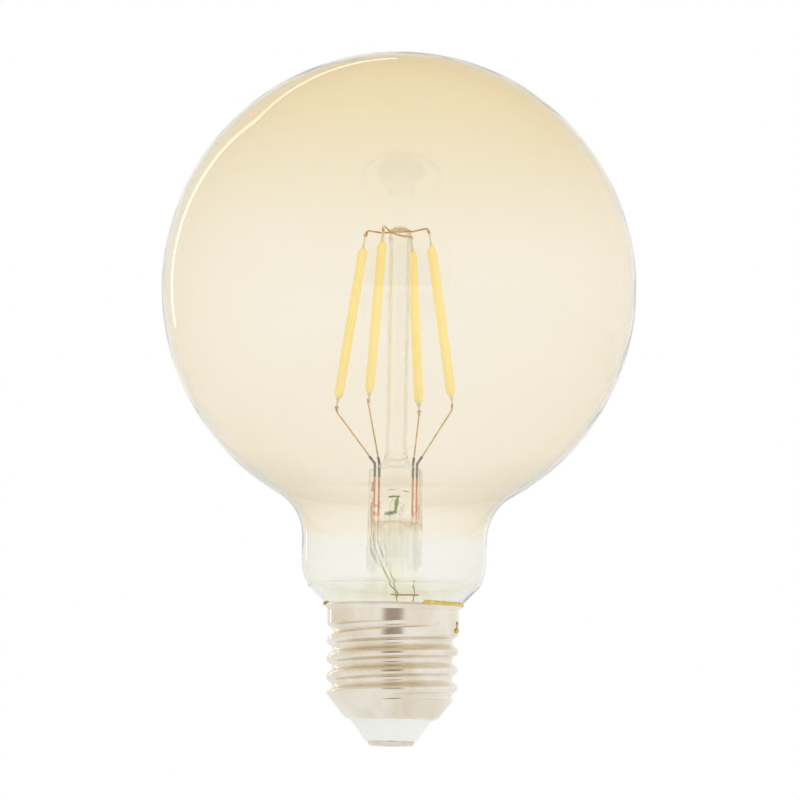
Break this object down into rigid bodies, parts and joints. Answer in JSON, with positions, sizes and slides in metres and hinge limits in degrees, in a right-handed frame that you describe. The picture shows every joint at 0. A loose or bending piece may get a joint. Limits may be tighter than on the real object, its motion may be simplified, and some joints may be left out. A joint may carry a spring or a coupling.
{
  "type": "led filament bulb",
  "caption": "Round globe filament bulb with pale amber coated glass, a glass stem carrying a cage of upright filaments, and an Edison screw cap.",
  "frame": {"origin": "middle of the centre contact's underside, the lowest point of the cap", "axes": "+Z along the bulb's axis, from the cap to the top of the globe; looking along +Y gives the picture's view, with +X to the right"},
  "size_m": [0.095, 0.095, 0.1388],
  "materials": {
    "coated_glass": "thin blown glass with a pale amber coating that ends at the neck",
    "clear_glass": "clear drawn and pressed glass",
    "phosphor": "yellow phosphor in silicone, slightly translucent",
    "strip_ceramic": "white ceramic strip",
    "tab_steel": "plated steel strip",
    "copper_wire": "copper-coloured drawn wire",
    "stub_steel": "grey nickel wire",
    "seal_copper": "copper-red wire sealed in glass",
    "tinned_wire": "thin tinned copper wire",
    "brass_wire": "brass-coloured wire",
    "nickel_sheet": "nickel-plated sheet with a rolled thread",
    "nickel_contact": "nickel-plated pressed contact",
    "solder": "dull solder",
    "insulator_plastic": "whitish translucent moulding",
    "cement": "yellow-brown basing cement",
    "board_laminate": "white coated glass-fibre laminate",
    "black_moulding": "black moulded component body",
    "capacitor_sleeve": "black shrunk sleeve on an aluminium can",
    "resistor_coat": "green lacquer"
  },
  "bodies": {
    "root": {"basing_cement": "cement", "bridge_rectifier": "black_moulding", "cap_insulator": "insulator_plastic", "centre_contact": "nickel_contact", "chip_resistor_1": "black_moulding", "chip_resistor_2": "black_moulding", "contact_lead": "tinned_wire", "contact_solder": "solder", "driver_board": "board_laminate", "driver_chip": "black_moulding", "driver_pigtail": "tinned_wire", "exhaust_tube": "clear_glass", "filament_foot_tab_1": "tab_steel", "filament_foot_tab_2": "tab_steel", "filament_foot_tab_3": "tab_steel", "filament_foot_tab_4": "tab_steel", "filament_phosphor_1": "phosphor", "filament_phosphor_2": "phosphor", "filament_phosphor_3": "phosphor", "filament_phosphor_4": "phosphor", "filament_strip_1": "strip_ceramic", "filament_strip_2": "strip_ceramic", "filament_strip_3": "strip_ceramic", "filament_strip_4": "strip_ceramic", "filament_top_tab_1": "tab_steel", "filament_top_tab_2": "tab_steel", "filament_top_tab_3": "tab_steel", "filament_top_tab_4": "tab_steel", "fuse_top_lead": "tinned_wire", "fusible_resistor": "resistor_coat", "glass_globe": "coated_glass", "lead_stub_1": "stub_steel", "lead_stub_2": "stub_steel", "lead_stub_3": "stub_steel", "lead_stub_4": "stub_steel", "link_wire": "brass_wire", "lower_wire_1": "copper_wire", "lower_wire_2": "copper_wire", "lower_wire_3": "copper_wire", "lower_wire_4": "copper_wire", "outer_lead_back": "tinned_wire", "outer_lead_front": "tinned_wire", "screw_shell": "nickel_sheet", "seal_wire_1": "seal_copper", "seal_wire_2": "seal_copper", "seal_wire_3": "seal_copper", "seal_wire_4": "seal_copper", "shell_lead": "tinned_wire", "side_solder": "solder", "smoothing_capacitor": "capacitor_sleeve", "stem_flare": "clear_glass", "support_rod": "clear_glass", "top_wire_1": "copper_wire", "top_wire_2": "copper_wire"}
  },
  "joints": []
}
